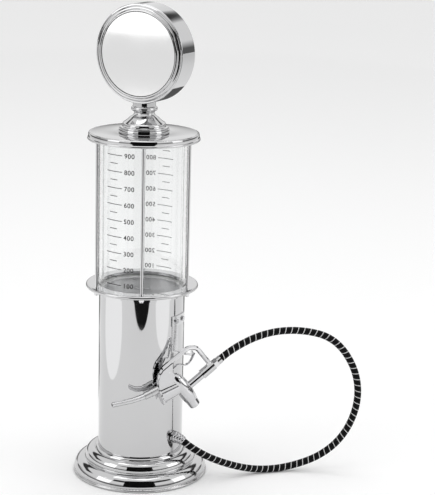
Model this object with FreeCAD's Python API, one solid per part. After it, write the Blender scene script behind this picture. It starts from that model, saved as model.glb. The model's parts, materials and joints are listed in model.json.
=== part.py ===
"""Tabletop drinks dispenser in the form of a visible-measure gas pump.

Units are millimetres. +Z is up, the base rests on Z = 0 and the column stands on the Z axis.
The round face of the finial and the first scale look along -Y. The nozzle hangs on the +X side.
"""

import FreeCAD, Part
import math
import os

os.makedirs("parts", exist_ok=True)

Vector = FreeCAD.Vector
UP = Vector(0, 0, 1)
ORIGIN = Vector(0, 0, 0)

# ---------------------------------------------------------------- driving sizes

# base
base_radius = 71.0
base_height = 26.2
base_bead_height = 2.6
base_wall = 2.0
ground_gap = 0.6
base_plate_thickness = 1.2
base_weight_height = 7.0

# column
body_radius = 44.5
body_wall = 1.0
body_height = 171.3
neck_ring_height = 2.4
neck_ring_width = 2.8
body_foot_thickness = 2.0

# collar at the top of the column
collar_radius = 58.2
collar_thickness = 4.0
collar_depth = 7.0
collar_web = 2.0
collar_wall = 1.1
collar_shoulder = 1.3

# clear measuring cylinder
canister_radius = 45.5
canister_wall = 2.0
canister_height = 159.3
gasket_thickness = 1.0
floor_thickness = 1.6
floor_dish = 1.2
canister_seat_gap = 0.3

# tie rods
rod_radius = 1.5
rod_circle_radius = 53.5
rod_count = 6
rod_nut_radius = 2.9
rod_nut_height = 3.2
rod_foot_radius = 2.5
rod_foot_height = 1.2

# cap
cap_radius = 57.6
cap_skirt = 5.8
cap_height = 7.6
cap_wall = 1.6
cap_liner_thickness = 3.0
fill_hole_radius = 19.0
fill_collar_depth = 5.0

# lift-out finial
plug_clearance = 0.4
plug_length = 9.0
plug_wall = 1.6
plug_ring_depth = 5.4
finial_foot_radius = 25.7
finial_neck_radius = 10.3
finial_stem_radius = 11.6
finial_height = 29.8
stud_radius = 3.0
disc_radius = 50.2
disc_front = 12.3
disc_width = 25.8
disc_seam_depth = 17.0
disc_wall = 1.4
mirror_radius = 42.0
mirror_thickness = 2.4
mirror_dome = 0.8
mirror_seal_width = 0.8
bezel_width = 2.0

# drinks outlet, near the foot of the column
drain_bore = 2.2
drain_wall = 1.6
feed_tube_wall = 1.2
feed_bend_radius = 21.8
outlet_height = 46.5
outlet_azimuth = -8.0
outlet_flange_radius = 6.4
outlet_flange_thickness = 2.0
outlet_gasket_thickness = 0.6
boot_start_radius = 5.4
boot_end_radius = 4.4

# hose: centreline points between the outlet and the nozzle, then its size
hose_radius = 3.7
hose_route_middle = [
    (91.5, 21.5, 16.5),
    (112.5, 51.0, 3.7),
    (139.0, 76.0, 3.7),
    (170.5, 96.0, 17.5),
    (192.0, 109.0, 43.5),
    (202.0, 116.0, 81.0),
    (195.5, 115.0, 117.0),
    (175.5, 102.5, 148.5),
    (145.5, 81.5, 158.0),
    (117.0, 58.5, 156.0),
]
hose_start = (56.0, -6.0, 43.2)
hose_start_run = (14.8, 4.8, -10.8)
hose_end_run = 18.0

# bracket that the nozzle hangs on
bracket_height = 173.0
bracket_thickness = 1.2
bracket_half_angle = 15.5
bracket_depth = 10.5
bracket_screw_angle = 8.0
bracket_screw_radius = 1.3
strip_left = -11.2
strip_width = 8.6
hook_width = 2.8
hook_thickness = 1.6
hook_top = 141.9
hook_rise = 3.5

# nozzle, drawn in its own upright plane: x towards the hose, y up from the table, z away from the column
nozzle_turn = 52.5
nozzle_offset = 54.0
nose_slope = 20.2
grip_slope = 35.9
housing_slope = -55.5
nose_point = (-3.7, 105.9)
spout_tip = (-52.9, 95.8)
spout_corner = (-24.3, 98.3)
spout_tip_radius = 2.6
spout_root_radius = 3.1
spout_bore = 1.8
spout_depth = 6.0
ferrule_radius = 3.8
ferrule_step = 0.35
ferrule_length = 7.4
block_front = (0.8, 99.95)
block_back = (20.2, 107.7)
block_half_height = 10.2
block_half_width = 6.3
nose_flange_rim = 1.1
nose_flange_thickness = 1.8
web_half_thickness = 3.5
housing_top = (14.5, 120.5)
housing_radius = 7.8
housing_length = 36.0
chamber_radius = 5.0
chamber_start = 12.5
valve_seat_thickness = 2.0
valve_seal_thickness = 2.0
spring_radius = 3.2
spring_wire_radius = 0.45
spring_pitch = 2.4
valve_cap_radius = 5.9
valve_cap_length = 7.5
valve_cap_spigot = 3.0
stem_radius = 1.4
stem_length = 30.0
stem_head_radius = 1.9
stem_head_height = 0.8
grip_end = (67.2, 131.7)
grip_radius = 4.0
grip_length = 34.0
grip_bore = 2.2
ferrule_end_length = 4.9
hose_nut_length = 4.7
grip_band_length = 16.2
grip_band_radius = 5.2
guard_depth = 4.6
guard_width = 5.0
trigger_pivot = (8.5, 124.0)
trigger_width = 4.0
trigger_thickness = 1.5
trigger_root_radius = 2.6
cam_reach = (5.5, -2.8)
cam_radius = 0.7
pin_radius = 1.0

# fits
running_gap = 0.05
seat_gap = 0.1
slot_gap = 0.4
screw_radius = 1.5
screw_head_radius = 3.0
screw_head_height = 2.2

# ---------------------------------------------------------------- sizes that follow

base_top = base_height
body_bottom = base_top
body_top = body_bottom + body_height
body_bore = body_radius - body_wall
base_screw_circle = body_bore - 10.0
collar_bottom = body_top
collar_top = collar_bottom + collar_web + collar_depth
collar_seat_radius = canister_radius + canister_seat_gap
floor_bottom = collar_bottom + collar_web + gasket_thickness
floor_top = floor_bottom + floor_thickness
canister_bore = canister_radius - canister_wall
column_inside = min(body_bore, canister_bore)
canister_bottom = floor_top + gasket_thickness
canister_top = canister_bottom + canister_height
cap_underside = canister_top + gasket_thickness
cap_bottom = cap_underside - cap_skirt
cap_top = cap_bottom + cap_height
drain_outer = drain_bore + drain_wall
disc_centre = cap_top + finial_height + disc_radius
disc_back = disc_front - disc_width
disc_seam = disc_front - disc_seam_depth
plug_radius = fill_hole_radius - plug_clearance


# ---------------------------------------------------------------- shape helpers

def save(name, shape):
    """Write one named piece."""
    shape.exportStep("parts/" + name + ".step")


def polar(radius, degrees, height=0.0):
    """Point at a radius and an azimuth measured from +X."""
    angle = math.radians(degrees)
    return Vector(radius * math.cos(angle), radius * math.sin(angle), height)


def turned(points):
    """Solid of revolution about Z from (radius, height) corners.

    A third number curves the run that arrives at a corner: it is how far the middle of that run
    stands off to its right, which is outwards where the outline goes up its outer side."""
    edges = []
    for index, point in enumerate(points):
        before = points[index - 1]
        start = Vector(before[0], 0, before[1])
        end = Vector(point[0], 0, point[1])
        if len(point) == 2:
            edges.append(Part.LineSegment(start, end).toShape())
            continue
        run = end - start
        aside = Vector(run.z, 0, -run.x)
        aside.normalize()
        middle = (start + end) * 0.5 + aside * point[2]
        edges.append(Part.Arc(start, middle, end).toShape())
    return Part.Face(Part.Wire(edges)).revolve(ORIGIN, UP, 360)


def ring(inner, outer, bottom, top):
    """Plain ring, or a disc where inner is 0."""
    disc = Part.makeCylinder(outer, top - bottom, Vector(0, 0, bottom))
    if inner <= 0:
        return disc
    return disc.cut(Part.makeCylinder(inner, top - bottom + 2, Vector(0, 0, bottom - 1)))


def bar(start, direction, length, radius):
    """Round bar."""
    return Part.makeCylinder(radius, length, start, direction)


def pipe(start, direction, length, inner, outer):
    """Round tube."""
    return bar(start, direction, length, outer).cut(bar(start, direction, length, inner))


def hexagon(start, direction, length, radius):
    """Hexagonal prism along a direction."""
    corners = [polar(radius, 60 * index) for index in range(7)]
    prism = Part.Face(Part.makePolygon(corners)).extrude(Vector(0, 0, length))
    prism.Placement = FreeCAD.Placement(start, FreeCAD.Rotation(UP, direction))
    return prism


def around_column(shape, count, first_angle=0.0):
    """Copies of a shape spread evenly about the Z axis."""
    copies = []
    for index in range(count):
        copy = shape.copy()
        copy.rotate(ORIGIN, UP, first_angle + index * 360.0 / count)
        copies.append(copy)
    return Part.makeCompound(copies)


def rounded_path(points):
    """Straight runs joined by tangent arcs, and the radius of each arc."""
    edges = []
    radii = []
    cursor = points[0]
    for before, corner, after in zip(points, points[1:], points[2:]):
        run_in = corner - before
        run_out = after - corner
        setback = 0.45 * min(run_in.Length, run_out.Length)
        half_turn = run_in.getAngle(run_out) / 2
        radius = setback / math.tan(half_turn)
        run_in.normalize()
        run_out.normalize()
        inward = run_out - run_in
        inward.normalize()
        start = corner - run_in * setback
        end = corner + run_out * setback
        middle = corner + inward * (radius / math.cos(half_turn) - radius)
        edges.append(Part.LineSegment(cursor, start).toShape())
        edges.append(Part.Arc(start, middle, end).toShape())
        cursor = end
        radii.append(radius)
    edges.append(Part.LineSegment(cursor, points[-1]).toShape())
    return Part.Wire(edges), radii


def round_section(centre, direction, radius):
    """Circle across a direction."""
    return Part.Wire(Part.Circle(centre, direction, radius).toShape())


def carried(path, section):
    """Solid made by carrying one flat section along a path."""
    return path.makePipeShell([section], True, False)


# ---------------------------------------------------------------- base

def base_shell():
    """Spun shell: a foot bead, a broad convex ring, a step and a smaller convex ring."""
    top = base_top
    rim = base_radius - 0.4
    waist = base_radius - 12.8
    shell = turned([
        (rim - base_wall, ground_gap),
        (rim, ground_gap),
        (rim, base_bead_height, 0.4),
        (rim - 1.0, base_bead_height + 1.0, -0.3),
        (base_radius - 1.0, base_bead_height + 3.4, 0.15),
        (base_radius - 3.4, top - 14.2, 0.34),
        (base_radius - 9.5, top - 11.0, 0.67),
        (waist + 0.8, top - 10.8),
        (waist, top - 9.8, -0.3),
        (waist, top - 7.7),
        (waist - 1.6, top - 3.0, 0.26),
        (base_radius - 20.0, top, 0.68),
        (base_screw_circle - 7.0, top),
        (base_screw_circle - 7.0, top - base_wall),
        (base_screw_circle + 6.0, top - base_wall),
        (base_radius - 19.0, top - base_wall - 0.6),
        (waist - base_wall - 2.0, top - 7.5),
        (waist - base_wall - 2.0, top - 12.8),
        (base_radius - 6.5, top - 15.6),
        (rim - base_wall - 1.2, top - 19.0),
        (rim - base_wall - 1.2, base_bead_height + 1.0),
        (rim - base_wall, base_bead_height),
    ])
    return shell.cut(base_screw_shanks(screw_radius + seat_gap))


def base_screw_shanks(radius):
    """Three bars where the base screws go."""
    shank = bar(Vector(base_screw_circle, 0, base_top - base_wall - 0.5), UP,
                base_wall + body_foot_thickness + 1.5, radius)
    return around_column(shank, 3, 30)


def base_plate():
    """Steel disc that closes the base from below."""
    outer = base_radius - 0.4 - base_wall - seat_gap
    return ring(6.0, outer, base_bead_height - base_plate_thickness, base_bead_height)


def foot_pad():
    """Round rubber pad that the dispenser stands on."""
    return ring(0, base_radius - base_wall - 3.0, 0, base_bead_height - base_plate_thickness)


def base_weight():
    """Cast ring that keeps the dispenser upright."""
    return ring(8.0, base_radius - base_wall - 19.5, base_bead_height,
                base_bead_height + base_weight_height)


def base_screws():
    """Three pan-head screws through the base shell into the column's foot plate."""
    head_bottom = base_top - base_wall - screw_head_height
    start = Vector(base_screw_circle, 0, head_bottom)
    head = bar(start, UP, screw_head_height, screw_head_radius)
    shank = bar(start, UP, screw_head_height + base_wall + body_foot_thickness, screw_radius)
    return around_column(head.fuse(shank).removeSplitter(), 3, 30)


# ---------------------------------------------------------------- column and collar

def neck_ring():
    """Trim ring that hides the joint of column and base."""
    inner = body_radius + seat_gap
    outer = body_radius + neck_ring_width
    return turned([
        (inner, base_top),
        (outer + 0.9, base_top),
        (outer - 0.4, base_top + neck_ring_height - 0.2, 0.12),
        (inner, base_top + neck_ring_height),
    ])


def bracket_screw_bar(side, near, far, radius):
    """Bar where one of the bracket's two screws goes, between two distances from the axis."""
    direction = polar(1, side * bracket_screw_angle)
    return bar(direction * near + Vector(0, 0, bracket_height), direction, far - near, radius)


def outlet_bar(near, far, radius):
    """Bar on the outlet's own line, between two distances from the axis."""
    direction = polar(1, outlet_azimuth)
    return bar(direction * near + Vector(0, 0, outlet_height), direction, far - near, radius)


def body_tube():
    """Polished column with a hole for the outlet and two for the bracket's screws."""
    tube = ring(body_bore, body_radius, body_bottom, body_top)
    tube = tube.cut(outlet_bar(body_bore - 5, body_radius + 5, drain_outer + seat_gap))
    for side in (-1, 1):
        hole = bracket_screw_bar(side, body_bore - 5, body_radius + 5, bracket_screw_radius + seat_gap)
        tube = tube.cut(hole)
    return tube


def body_foot_plate():
    """Disc inside the foot of the column that takes the base screws."""
    plate = ring(0, body_bore, body_bottom, body_bottom + body_foot_thickness)
    return plate.cut(base_screw_shanks(screw_radius))


def collar():
    """Flared collar: a hub that seats the cylinder, with a flange whose rim is fully rounded."""
    hub = max(collar_seat_radius, body_radius + collar_shoulder) + collar_wall
    flange_low = collar_top - collar_thickness
    flange = collar_radius - collar_thickness / 2
    inner = column_inside - 2.0
    shape = turned([
        (inner, collar_bottom),
        (hub, collar_bottom),
        (hub, flange_low),
        (flange, flange_low),
        (flange, collar_top, collar_thickness / 2),
        (collar_seat_radius, collar_top),
        (collar_seat_radius, collar_bottom + collar_web),
        (inner, collar_bottom + collar_web),
    ])
    return shape.cut(rod_bars(flange_low - 1, collar_top + 1, rod_radius + seat_gap))


def rod_bars(bottom, top, radius):
    """A bar at each tie rod's place."""
    return around_column(bar(Vector(rod_circle_radius, 0, bottom), UP, top - bottom, radius), rod_count)


# ---------------------------------------------------------------- measuring cylinder

def canister():
    """Clear tube that holds the drink."""
    return ring(canister_bore, canister_radius, canister_bottom, canister_top)


def flat_gasket(bottom):
    """Silicone ring at one end of the cylinder."""
    return ring(canister_bore - 1.5, canister_radius, bottom, bottom + gasket_thickness)


def canister_floor():
    """Floor of the cylinder, sunk a little inside its rim, with a hole for the drain."""
    hole = drain_outer + seat_gap
    sunk = column_inside - 6.0
    rise = column_inside - 4.0
    return turned([
        (hole, floor_bottom - floor_dish),
        (sunk, floor_bottom - floor_dish),
        (rise, floor_bottom),
        (canister_radius, floor_bottom),
        (canister_radius, floor_top),
        (rise, floor_top),
        (sunk, floor_top - floor_dish),
        (hole, floor_top - floor_dish),
    ])


def drain_spigot():
    """Flanged tail that leads the drink down into the feed tube."""
    seat = floor_top - floor_dish
    return turned([
        (drain_bore, floor_bottom - 16.0),
        (drain_outer, floor_bottom - 16.0),
        (drain_outer, seat),
        (drain_outer + 4.4, seat),
        (drain_outer + 3.8, seat + 1.0),
        (drain_bore, seat + 0.6),
    ])


def drain_nut():
    """Hexagon nut that clamps the drain under the floor."""
    start = Vector(0, 0, floor_bottom - floor_dish - 4.0)
    return hexagon(start, UP, 4.0, 8.0).cut(bar(start, UP, 4.0, drain_outer))


def feed_tube():
    """Soft tube inside the column: one long drop, then one easy bend to the outlet."""
    top = Vector(0, 0, floor_bottom - 8.0)
    along = polar(1, outlet_azimuth)
    bend = feed_bend_radius
    arc_start = Vector(0, 0, outlet_height + bend)
    arc_end = along * bend + Vector(0, 0, outlet_height)
    arc_centre = along * bend + Vector(0, 0, outlet_height + bend)
    arc_middle = arc_centre + (along + UP) * (-bend / math.sqrt(2))
    path = Part.Wire([
        Part.LineSegment(top, arc_start).toShape(),
        Part.Arc(arc_start, arc_middle, arc_end).toShape(),
        Part.LineSegment(arc_end, along * (body_bore - 8.0) + Vector(0, 0, outlet_height)).toShape(),
    ])
    outside = carried(path, round_section(top, UP, drain_outer + feed_tube_wall))
    inside = carried(path, round_section(top, UP, drain_outer))
    return outside.cut(inside)


# ---------------------------------------------------------------- outlet and hose

def outlet_face():
    """Distance of the outlet flange's back from the axis."""
    return body_radius + outlet_gasket_thickness


def outlet_fitting():
    """Flanged tail that carries the drink out through the column's wall."""
    face = outlet_face()
    shape = outlet_bar(face, face + outlet_flange_thickness, outlet_flange_radius)
    shape = shape.fuse(outlet_bar(body_bore - 14.0, face, drain_outer)).removeSplitter()
    return shape.cut(outlet_bar(body_bore - 15.0, face + outlet_flange_thickness + 1, drain_bore))


def outlet_gasket():
    """Washer between the flange and the round column, cut to the column's curve."""
    washer = outlet_bar(body_bore, outlet_face(), outlet_flange_radius - 0.6)
    washer = washer.cut(outlet_bar(body_bore - 1, outlet_face() + 1, drain_outer))
    return washer.cut(ring(0, body_radius, outlet_height - 20, outlet_height + 20))


def outlet_nut():
    """Hexagon nut that clamps the outlet from inside."""
    direction = polar(1, outlet_azimuth)
    start = direction * (body_bore - 4.0) + Vector(0, 0, outlet_height)
    return hexagon(start, direction, 3.2, 7.0).cut(bar(start, direction, 3.2, drain_outer))


def hose_boot():
    """Soft strain relief: a taper that turns from the outlet's line into the hose's line."""
    outward = polar(1, outlet_azimuth)
    start = outward * (outlet_face() + outlet_flange_thickness) + Vector(0, 0, outlet_height)
    end = Vector(*hose_start)
    knee = start + outward * ((end - start).Length * 0.55)
    sections = []
    for share in (0.0, 0.35, 0.7, 1.0):
        centre = start * (1 - share) ** 2 + knee * (2 * share * (1 - share)) + end * share ** 2
        heading = (knee - start) * (1 - share) + (end - knee) * share
        if share == 1.0:
            heading = Vector(*hose_start_run)
        radius = boot_start_radius + (boot_end_radius - boot_start_radius) * share
        sections.append(round_section(centre, heading, radius))
    return Part.makeLoft(sections, True, False)


def hose_points():
    """The hose's route: out of the boot, down to the table, round and up into the nozzle."""
    start = Vector(*hose_start)
    end = nozzle_point(grip_end)
    lead = nozzle_direction(grip_slope) * hose_end_run
    middle = [Vector(*point) for point in hose_route_middle]
    return [start, start + Vector(*hose_start_run)] + middle + [end + lead, end]


def hose():
    """Hose as a plain round tube along the route."""
    points = hose_points()
    path, radii = rounded_path(points)
    solid = carried(path, round_section(points[0], points[1] - points[0], hose_radius))
    expected = math.pi * hose_radius ** 2 * path.Length
    print("hose arcs, mm:", " ".join("%.0f" % radius for radius in radii))
    print("hose length %.0f mm, volume %.3f of section times length" % (path.Length, solid.Volume / expected))
    return solid


# ---------------------------------------------------------------- tie rods and cap

def tie_rods():
    """Six rods from under the collar to the cap's liner."""
    return rod_bars(collar_top - collar_thickness - rod_nut_height + 0.6, cap_underside, rod_radius)


def rod_nuts():
    """Domed nuts under the collar."""
    top = collar_top - collar_thickness
    hex_height = rod_nut_height * 0.6
    nut = hexagon(Vector(rod_circle_radius, 0, top - hex_height), UP, hex_height, rod_nut_radius)
    dome = bar(Vector(rod_circle_radius, 0, top - rod_nut_height), UP,
               rod_nut_height - hex_height, rod_nut_radius * 0.7)
    hole = bar(Vector(rod_circle_radius, 0, top - rod_nut_height + 0.6), UP, rod_nut_height, rod_radius)
    return around_column(nut.fuse(dome).cut(hole), rod_count)


def rod_feet():
    """Small washers where the rods meet the top of the collar."""
    start = Vector(rod_circle_radius, 0, collar_top)
    return around_column(pipe(start, UP, rod_foot_height, rod_radius, rod_foot_radius), rod_count)


def cap_liner():
    """Ring inside the cap that the rods screw into."""
    liner = ring(canister_radius + 1.0, cap_radius - cap_wall,
                 cap_underside - cap_liner_thickness, cap_underside)
    return liner.cut(rod_bars(cap_underside - cap_liner_thickness - 1, cap_underside + 1, rod_radius))


def cap():
    """Shallow domed cap with a beaded edge, a rounded shoulder and a fill hole."""
    return turned([
        (cap_radius - cap_wall, cap_bottom),
        (cap_radius - 0.7, cap_bottom),
        (cap_radius - 0.7, cap_bottom + 2.4, 0.7),
        (cap_radius - 1.0, cap_bottom + 2.6),
        (cap_radius - 1.2, cap_bottom + 6.5, 0.25),
        (cap_radius - 3.0, cap_bottom + 7.3, 0.4),
        (finial_foot_radius + 3.0, cap_top, 0.3),
        (fill_hole_radius, cap_top),
        (fill_hole_radius, cap_underside - fill_collar_depth),
        (fill_hole_radius + cap_wall, cap_underside - fill_collar_depth),
        (fill_hole_radius + cap_wall, cap_underside),
        (cap_radius - cap_wall, cap_underside),
    ])


# ---------------------------------------------------------------- finial, which lifts out to fill

def fill_plug():
    """Hollow plug under the finial that fits the fill hole."""
    bottom = cap_top - plug_length
    groove = cap_top - plug_ring_depth
    return turned([
        (stud_radius, bottom),
        (plug_radius - 1.0, bottom),
        (plug_radius, bottom + 1.0),
        (plug_radius, groove - 1.2),
        (plug_radius - 1.2, groove - 1.2),
        (plug_radius - 1.2, groove + 1.2),
        (plug_radius, groove + 1.2),
        (plug_radius, cap_top),
        (plug_radius - 1.2 - plug_wall, cap_top),
        (plug_radius - 1.2 - plug_wall, bottom + plug_wall),
        (stud_radius, bottom + plug_wall),
    ])


def plug_ring():
    """Silicone ring in the plug's groove."""
    centre = cap_top - plug_ring_depth
    return ring(plug_radius - 1.2, fill_hole_radius - running_gap, centre - 1.1, centre + 1.1)


def finial_pedestal():
    """Turned pedestal: a stepped foot, an ogee, a neck and a bulge under the disc."""
    base = cap_top
    foot = finial_foot_radius
    neck = finial_neck_radius
    stem = finial_stem_radius
    shape = turned([
        (stud_radius, base),
        (foot, base),
        (foot, base + 3.3, 0.3),
        (foot - 0.7, base + 3.6),
        (foot - 0.7, base + 5.7, 0.3),
        (foot - 3.2, base + 6.0),
        (foot - 3.6, base + 6.9),
        (foot - 5.4, base + 10.3, 0.7),
        (neck + 4.3, base + 15.2, -0.3),
        (neck + 3.4, base + 15.7),
        (neck, base + 19.4, -0.5),
        (neck + 0.9, base + 21.4, -0.2),
        (neck + 1.5, base + 21.6),
        (neck + 1.6, base + 26.4, 1.6),
        (stem, base + 26.8),
        (stem, disc_centre - disc_radius + 3.0),
        (stud_radius, disc_centre - disc_radius + 3.0),
    ])
    drum = bar(Vector(0, -disc_width, disc_centre), Vector(0, 1, 0), 2 * disc_width, disc_radius)
    return shape.cut(drum)


def finial_stud():
    """Threaded stud that pulls plug, pedestal and disc together."""
    bottom = cap_top - plug_length - 1.5
    return bar(Vector(0, 0, bottom), UP, disc_centre - disc_radius + 7.0 - bottom, stud_radius)


def facing_front(shape):
    """Turns a shape made about Z so that its top looks along -Y, and centres it on the disc."""
    moved = shape.copy()
    moved.rotate(ORIGIN, Vector(1, 0, 0), 90)
    moved.translate(Vector(0, 0, disc_centre))
    return moved


def facing_back(shape):
    """The same for a piece on the back of the disc."""
    moved = facing_front(shape)
    moved.rotate(Vector(0, 0, disc_centre), UP, 180)
    moved.translate(Vector(0, disc_width - 2 * disc_front, 0))
    return moved


def disc_shell(seam):
    """Half of the drum: a rim with a stepped, rounded edge that carries the bezel."""
    edge = disc_radius
    lip = mirror_radius + mirror_seal_width + bezel_width
    return turned([
        (edge - disc_wall, seam),
        (edge, seam),
        (edge, disc_front - 0.9),
        (edge - 0.9, disc_front, 0.25),
        (edge - 1.8, disc_front + 0.2),
        (edge - 2.1, disc_front - 0.1),
        (lip + 0.3, disc_front + 1.3, 0.4),
        (lip, disc_front + 1.0),
        (lip, disc_front - 0.8),
        (edge - disc_wall - 1.0, disc_front - 1.4),
        (edge - disc_wall, disc_front - 2.4),
    ])


def disc_front_shell():
    """Deeper half of the drum, with the hole for the stud."""
    shell = facing_front(disc_shell(disc_seam))
    return shell.cut(bar(Vector(0, 0, disc_centre - disc_radius - 1), UP, 6, stud_radius))


def disc_back_shell():
    """Shallower half of the drum."""
    return facing_back(disc_shell(disc_front - (disc_seam - disc_back)))


def disc_core():
    """Ring inside the drum that the stud screws into."""
    core = ring(mirror_radius - 1.0, disc_radius - disc_wall, disc_back + 6.0, disc_front - 4.0)
    return facing_front(core).cut(bar(Vector(0, 0, disc_centre - disc_radius), UP, 12, stud_radius))


def bezel():
    """Polished ring that holds a mirror."""
    inner = mirror_radius + mirror_seal_width
    outer = inner + bezel_width
    return turned([
        (inner, disc_front - 0.8),
        (outer, disc_front - 0.8),
        (outer, disc_front + 1.2),
        (inner, disc_front + 2.2, 0.3),
    ])


def mirror_seal():
    """Thin black ring round a mirror."""
    return ring(mirror_radius, mirror_radius + mirror_seal_width, disc_front - 0.8, disc_front + 1.9)


def mirror():
    """Slightly domed mirror face."""
    edge_top = disc_front + 1.9
    sphere_radius = (mirror_radius ** 2 + mirror_dome ** 2) / (2 * mirror_dome)
    blank = ring(0, mirror_radius, edge_top - mirror_thickness, edge_top + mirror_dome)
    centre = Vector(0, 0, edge_top + mirror_dome - sphere_radius)
    return blank.common(Part.makeSphere(sphere_radius, centre, Vector(1, 0, 0)))


# ---------------------------------------------------------------- bracket

def bracket():
    """Curved plate on the column, a strip down from it, and a hook that stands out under the guard."""
    outer = body_radius + bracket_thickness
    shell = ring(body_radius, outer, hook_top - hook_thickness, bracket_height + bracket_depth / 2)
    reach = outer + 20
    corner = polar(reach, bracket_half_angle)
    wedge = Part.Face(Part.makePolygon([
        ORIGIN, polar(reach, -bracket_half_angle), Vector(reach * 1.2, 0, 0), corner, ORIGIN]))
    plate_zone = wedge.extrude(Vector(0, 0, bracket_depth))
    plate_zone.translate(Vector(0, 0, bracket_height - bracket_depth / 2))
    strip_zone = Part.makeBox(reach, strip_width, bracket_height - hook_top,
                              Vector(0, strip_left, hook_top - hook_thickness))
    plate = shell.common(plate_zone.fuse(strip_zone))
    for side in (-1, 1):
        hole = bracket_screw_bar(side, body_radius - 1, outer + 1, bracket_screw_radius + seat_gap)
        plate = plate.cut(hole)
    tip_inner = hook_tip_distance()
    tip_outer = tip_inner + hook_thickness
    low = hook_top - hook_thickness
    profile = Part.makePolygon([
        Vector(body_radius * 0.9, strip_left, low),
        Vector(tip_outer - 1.0, strip_left, low),
        Vector(tip_outer, strip_left, low + 1.0),
        Vector(tip_outer, strip_left, hook_top + hook_rise),
        Vector(tip_inner, strip_left, hook_top + hook_rise),
        Vector(tip_inner, strip_left, hook_top),
        Vector(body_radius * 0.9, strip_left, hook_top),
        Vector(body_radius * 0.9, strip_left, low),
    ])
    hook = Part.Face(profile).extrude(Vector(0, hook_width, 0))
    hook = hook.cut(ring(0, outer - 0.2, low - 1, hook_top + hook_rise + 1))
    return plate.fuse(hook).removeSplitter()


def hook_tip_distance():
    """How far along +X the hook's tip stands so that the guard fits behind it."""
    outward = nozzle_outward()
    near_side = strip_left + hook_width
    return (nozzle_offset + guard_width / 2 + slot_gap - outward.y * near_side) / outward.x


def bracket_screws():
    """Two pan-head screws that hold the bracket."""
    outer = body_radius + bracket_thickness
    screws = []
    for side in (-1, 1):
        head = bracket_screw_bar(side, outer + seat_gap, outer + 1.7, 2.5)
        shank = bracket_screw_bar(side, body_bore - 4.0, outer + 1.0, bracket_screw_radius)
        screws.append(head.fuse(shank).removeSplitter())
    return Part.makeCompound(screws)


def bracket_nuts():
    """Their nuts inside the column."""
    nuts = []
    for side in (-1, 1):
        direction = polar(1, side * bracket_screw_angle)
        start = direction * (body_bore - 3.0) + Vector(0, 0, bracket_height)
        nut = hexagon(start, direction, 2.6, 2.8)
        nuts.append(nut.cut(bar(start, direction, 2.6, bracket_screw_radius)))
    return Part.makeCompound(nuts)


# ---------------------------------------------------------------- nozzle plane

def nozzle_outward():
    """Unit vector square to the nozzle's plane, away from the column."""
    angle = math.radians(nozzle_turn)
    return Vector(math.sin(angle), -math.cos(angle), 0)


def nozzle_placement():
    """Carries the nozzle's own x, y, z to their places on the dispenser."""
    angle = math.radians(nozzle_turn)
    along = Vector(math.cos(angle), math.sin(angle), 0)
    outward = nozzle_outward()
    rotation = FreeCAD.Rotation(along, UP, outward, "ZXY")
    return FreeCAD.Placement(outward * nozzle_offset, rotation)


def placed(shape):
    """A nozzle piece in its place on the dispenser."""
    moved = shape.copy()
    moved.Placement = nozzle_placement().multiply(moved.Placement)
    return moved


def nozzle_point(point):
    """A point of the nozzle's plane in the dispenser's frame."""
    return nozzle_placement().multVec(Vector(point[0], point[1], 0))


def slope_vector(slope):
    """Unit vector in the nozzle's plane at a slope in degrees."""
    angle = math.radians(slope)
    return Vector(math.cos(angle), math.sin(angle), 0)


def nozzle_direction(slope):
    """The same direction in the dispenser's frame."""
    return nozzle_placement().Rotation.multVec(slope_vector(slope))


def flat_point(point):
    """A point of the nozzle's plane in the nozzle's own frame."""
    return Vector(point[0], point[1], 0)


def oval(centre, slope, half_height, half_width):
    """Upright ellipse across a slope."""
    along = slope_vector(slope)
    across = slope_vector(slope + 90)
    wire = Part.Wire(Part.Ellipse(ORIGIN, half_height, half_width).toShape())
    rotation = FreeCAD.Rotation(across, along.cross(across), along, "ZXY")
    wire.Placement = FreeCAD.Placement(centre, rotation)
    return wire


def grip_point(back):
    """Point on the grip's axis, a distance back from where the hose starts."""
    return flat_point(grip_end) - slope_vector(grip_slope) * back


def housing_point(along):
    """Point on the valve housing's axis, a distance down from its top."""
    return flat_point(housing_top) + slope_vector(housing_slope) * along


def turned_on(points, start, direction):
    """Turned solid whose heights run along a direction from start."""
    solid = turned(points)
    solid.Placement = FreeCAD.Placement(start, FreeCAD.Rotation(UP, direction))
    return solid


# ---------------------------------------------------------------- nozzle pieces, in the nozzle's own frame

def guard_path():
    """Centreline of the guard: up the front of the web, along the top, down to the grip."""
    corners = [(-1.2, 112.0), (-0.4, 126.4), (29.8, 147.7), (39.4, 147.0), (54.4, 128.2), (51.5, 121.6)]
    return rounded_path([flat_point(corner) for corner in corners])[0]


def planar_strip(path, start, slope, depth, width):
    """Rounded bar of a given depth in the plane and width across it, along a flat path."""
    across = slope_vector(slope + 90)
    half = depth / 2
    side = Vector(0, 0, width / 2)
    chamfer_in = across * (half * 0.45)
    chamfer_out = Vector(0, 0, width / 2 * 0.45)
    corners = [
        start + across * half + chamfer_out,
        start + across * half - chamfer_out,
        start + chamfer_in - side,
        start - chamfer_in - side,
        start - across * half - chamfer_out,
        start - across * half + chamfer_out,
        start - chamfer_in + side,
        start + chamfer_in + side,
    ]
    sweep = Part.BRepOffsetAPI.MakePipeShell(path)
    sweep.setBiNormalMode(Vector(0, 0, 1))
    sweep.add(Part.makePolygon(corners + corners[:1]))
    sweep.build()
    sweep.makeSolid()
    return sweep.shape()


def nozzle_guard():
    """Cast guard that the hook carries."""
    start = Vector(-1.2, 112.0, 0)
    slope = math.degrees(math.atan2(126.4 - 112.0, -0.4 + 1.2))
    solid = planar_strip(guard_path(), start, slope, guard_depth, guard_width)
    band = bar(grip_point(ferrule_end_length), slope_vector(grip_slope) * -1, 40, grip_band_radius)
    return solid.cut(band).cut(nozzle_block())


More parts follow.
